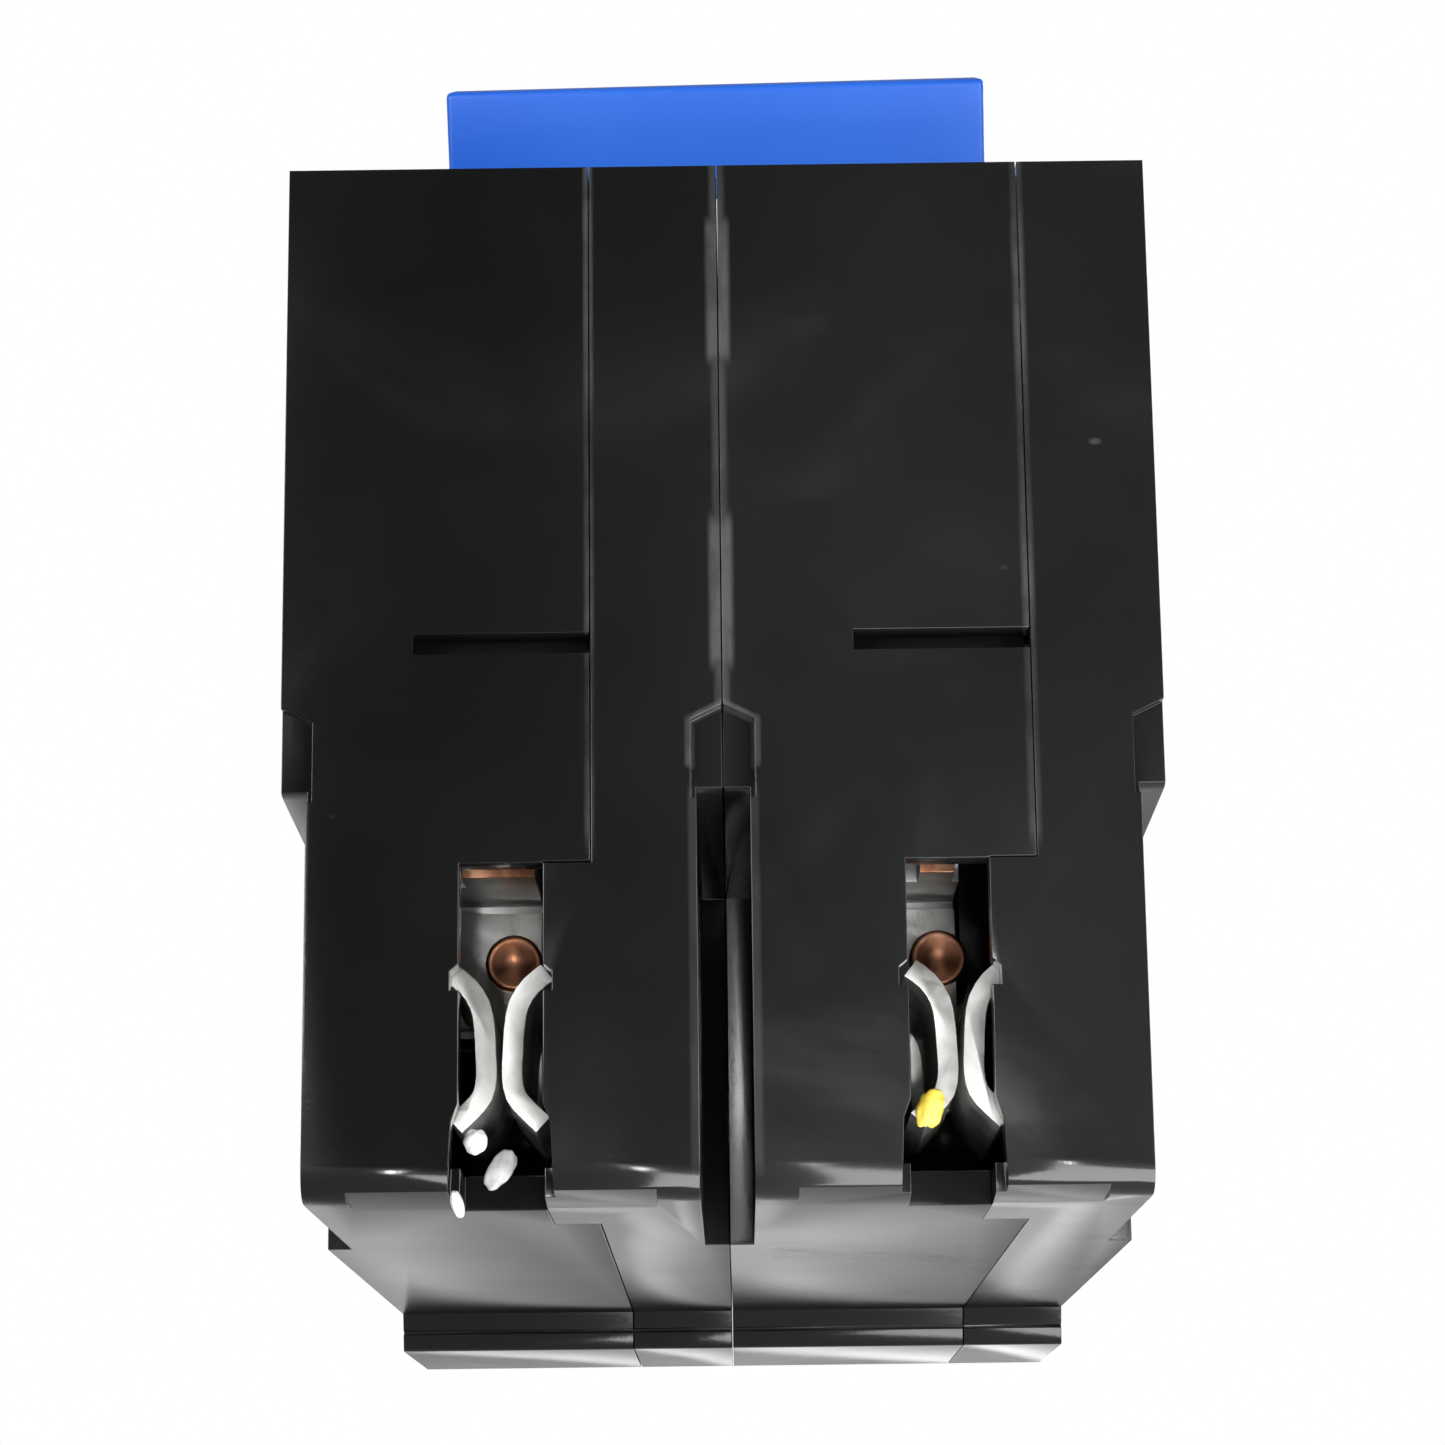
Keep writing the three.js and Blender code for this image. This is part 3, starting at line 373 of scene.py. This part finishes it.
MATERIALS = {
    "case_plastic": case_plastic(),
    "handle_plastic": handle_plastic(),
    "button_plastic": soft_plastic("button_plastic", (0.75, 0.52, 0.05, 1), (0.62, 0.4, 0.03, 1), 0.42),
    "tinned_copper": metal("tinned_copper", gray(0.68, (1.0, 1.0, 0.97)), gray(0.46, (1.0, 0.99, 0.96)), 0.4,
                           gray(0.25, (1.0, 0.92, 0.82)), (1.0, 0.2, 1.0)),
    "bare_copper": metal("bare_copper", (0.80, 0.42, 0.27, 1), (0.46, 0.19, 0.10, 1), 0.38,
                         (0.16, 0.06, 0.03, 1)),
    "zinc_steel": metal("zinc_steel", gray(0.62), gray(0.4, (1.0, 1.0, 1.03)), 0.36,
                        gray(0.2, (1.0, 0.93, 0.85))),
    "contact_silver": metal("contact_silver", gray(0.85, (1, 1, 0.98)), gray(0.6), 0.3, gray(0.3)),
    "bimetal": metal("bimetal", gray(0.5, (1.0, 0.96, 0.9)), gray(0.33), 0.42, None, (1.0, 1.0, 0.15)),
    "board": board_green(),
    "core_tape": wound("core_tape", (0.42, 0.3, 0.08, 1), (0.22, 0.15, 0.04, 1), 0.5, 60.0, 0.0),
    "winding": wound("winding", (0.55, 0.2, 0.08, 1), (0.2, 0.06, 0.02, 1), 0.32, 420.0, 0.7),
    "bar_plastic": soft_plastic("bar_plastic", gray(0.04), gray(0.022), 0.5),
    "grommet_rubber": soft_plastic("grommet_rubber", gray(0.02), gray(0.01), 0.65),
    "fibre": soft_plastic("fibre", gray(0.008), gray(0.003), 0.8, specular=0.1),
}
OWN_MATERIAL = {f"line_terminal_{side}": line_terminal() for side in SIDES}


# ---- CAD nodes: material and softened edges ----
SLOT_OF = {row["node"]: row["material_slot"] for row in frame["record"]["subparts"]}
BEVELS = {"case_plastic": 0.28, "handle_plastic": 0.35, "button_plastic": 0.35, "tinned_copper": 0.12,
          "bare_copper": 0.1, "zinc_steel": 0.12, "grommet_rubber": 0.3, "bar_plastic": 0.2}


def soften(node, width):
    """Rounds a node's sharp edges at render time, without touching its mesh."""
    weld = node.modifiers.new("weld", "WELD")
    weld.merge_threshold = 0.002 * MM
    flats = node.modifiers.new("flats", "DECIMATE")
    flats.decimate_type = "DISSOLVE"
    flats.angle_limit = math.radians(1.0)
    bevel = node.modifiers.new("edges", "BEVEL")
    bevel.width = width
    bevel.segments = 3
    bevel.limit_method = "ANGLE"
    bevel.angle_limit = math.radians(35)
    bevel.harden_normals = True


def dress_nodes():
    for name, node in frame["nodes"].items():
        slot = SLOT_OF[name]
        node.data.materials.clear()
        node.data.materials.append(OWN_MATERIAL.get(name, MATERIALS[slot]))
        for polygon in node.data.polygons:
            polygon.use_smooth = True
        if slot in BEVELS:
            soften(node, BEVELS[slot] * MM)


# ---- small pieces that only the looks have ----
def blob(name, center, radii, seed, material, body, lean=0.0):
    """A smooth, slightly irregular dab, flattened by its radii."""
    mesh = bpy.data.meshes.new(name)
    work = bmesh.new()
    bmesh.ops.create_icosphere(work, subdivisions=4, radius=1.0)
    for vertex in work.verts:
        swell = 1.0 + 0.22 * noise.noise(vertex.co * 1.7 + Vector((seed, 0, 0)))
        vertex.co = Vector([c * r * swell * MM for c, r in zip(vertex.co, radii)])
    work.to_mesh(mesh)
    work.free()
    mesh.transform(Matrix.Rotation(lean, 4, "Y"))
    for polygon in mesh.polygons:
        polygon.use_smooth = True
    piece = bpy.data.objects.new(name, mesh)
    bpy.context.scene.collection.objects.link(piece)
    piece.location = center
    mesh.materials.append(material)
    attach(piece, body)
    return piece


def place_dabs():
    """Yellow paint on the right jaw's left tip; white dabs in the left mouth that paint its glints."""
    paint = paint_dab()
    glint_white = painted_glint_white()
    blob("inspection_dab", Vector((MOUTH_X["right"] - 1.25 * MM, FACE_Y + 2.1 * MM, BASE_Z + 5.1 * MM)),
         (0.82, 0.4, 1.12), 3.0, paint, "breaker", 0.35)
    for number, (x, y, z, radii, lean) in enumerate(PAINTED_GLINTS, start=1):
        at = Vector((MOUTH_X["left"] + x * MM, FACE_Y + y * MM, BASE_Z + z * MM))
        blob(f"grease_{number}", at, radii, 7.0 * number, glint_white, "breaker", lean)


# ---- floor, light, camera ----
def floor():
    mesh = bpy.data.meshes.new("floor")
    half = FLOOR_HALF
    corners = [(-half, -half, 0), (half, -half, 0), (half, half, 0), (-half, half, 0)]
    mesh.from_pydata(corners, [], [(0, 1, 2, 3)])
    obj = bpy.data.objects.new("floor", mesh)
    obj.location.z = FLOOR_Z
    bpy.context.scene.collection.objects.link(obj)
    g = Graph("floor_paint")
    tone = g.noise(6.0, 3.0, 0.5)
    color = g.mix(g.step(tone, 0.3, 0.7), gray(0.48), gray(0.54))
    g.finish(color, 0.7, 0.0, g.bump(g.noise(900.0), 0.1, 0.0001))
    mesh.materials.append(g.material)


def area_light(name, place, target, size, power):
    data = bpy.data.lights.new(name, "AREA")
    data.shape = "RECTANGLE"
    data.size, data.size_y = size
    data.energy = power
    lamp = bpy.data.objects.new(name, data)
    bpy.context.scene.collection.objects.link(lamp)
    lamp.location = place
    lamp.rotation_euler = (Vector(target) - Vector(place)).to_track_quat("-Z", "Y").to_euler()
    lamp.visible_camera = False
    return lamp


def mouth_light(side):
    """A narrow, faint beam from below the camera into a jaw's mouth, so that the clip's web shows."""
    target = (MOUTH_X[side], FACE_Y + 12 * MM, BASE_Z + 9 * MM)
    lamp = area_light(f"mouth_{side}", (MOUTH_X[side], *BEAM_FROM), target, BEAM_SIZE, BEAM_POWER[side])
    lamp.data.spread = BEAM_SPREAD


def lights():
    # bright window low in front of the right pole: the highlight on the lower edges
    area_light("low_window", (WINDOW_X, WINDOW_Y, FLOOR_Z + 4 * MM), (WINDOW_X, WINDOW_Y, 1.0), WINDOW_SIZE,
               WINDOW_POWER)
    # low panels on both sides of the camera: they light the end face and graze the floor
    area_light("panel_left", target=PANEL_TARGET, **PANEL_LEFT)
    area_light("panel_right", target=PANEL_TARGET, **PANEL_RIGHT)
    # lamp over the floor behind, which the base plane mirrors
    back = area_light("back_top", BACK_PLACE, BACK_TARGET, BACK_SIZE, BACK_POWER)
    back.data.spread = BACK_SPREAD
    for side in SIDES:
        mouth_light(side)


def world():
    """White for the camera, and for the light a dim front and a bright back, as around the real breaker."""
    made = bpy.data.worlds.new("studio")
    bpy.context.scene.world = made
    made.use_nodes = True
    tree = made.node_tree
    tree.nodes.clear()
    out = tree.nodes.new("ShaderNodeOutputWorld")
    coordinates = tree.nodes.new("ShaderNodeTexCoord")
    split = tree.nodes.new("ShaderNodeSeparateXYZ")
    tree.links.new(coordinates.outputs["Generated"], split.inputs[0])
    ramp = tree.nodes.new("ShaderNodeMapRange")
    ramp.interpolation_type = "SMOOTHSTEP"
    tree.links.new(split.outputs["Y"], ramp.inputs["Value"])
    ramp.inputs["From Min"].default_value = -0.5
    ramp.inputs["From Max"].default_value = 0.5
    ramp.inputs["To Min"].default_value = ROOM_FRONT
    ramp.inputs["To Max"].default_value = ROOM_BACK
    room = tree.nodes.new("ShaderNodeBackground")
    tree.links.new(ramp.outputs["Result"], room.inputs["Strength"])
    white = tree.nodes.new("ShaderNodeBackground")
    white.inputs["Strength"].default_value = 1.0
    white.inputs["Color"].default_value = (1, 1, 1, 1)
    choose = tree.nodes.new("ShaderNodeMixShader")
    path = tree.nodes.new("ShaderNodeLightPath")
    tree.links.new(path.outputs["Is Camera Ray"], choose.inputs[0])
    tree.links.new(room.outputs[0], choose.inputs[1])
    tree.links.new(white.outputs[0], choose.inputs[2])
    tree.links.new(choose.outputs[0], out.inputs["Surface"])


def camera():
    data = bpy.data.cameras.new("camera")
    data.lens = LENS_MM
    data.sensor_width = SENSOR_MM
    data.clip_start = 0.01
    data.clip_end = 20
    eye = bpy.data.objects.new("camera", data)
    bpy.context.scene.collection.objects.link(eye)
    look = CAMERA_LOOK.normalized()
    right = look.cross(CAMERA_UP).normalized()
    up = right.cross(look)
    turn = Matrix((right, up, -look)).transposed().to_4x4()
    eye.matrix_world = Matrix.Translation(CAMERA_AT) @ turn
    bpy.context.scene.camera = eye


camera()
dress_nodes()
place_dabs()
floor()
lights()
world()
bpy.context.scene.view_settings.view_transform = "Standard"
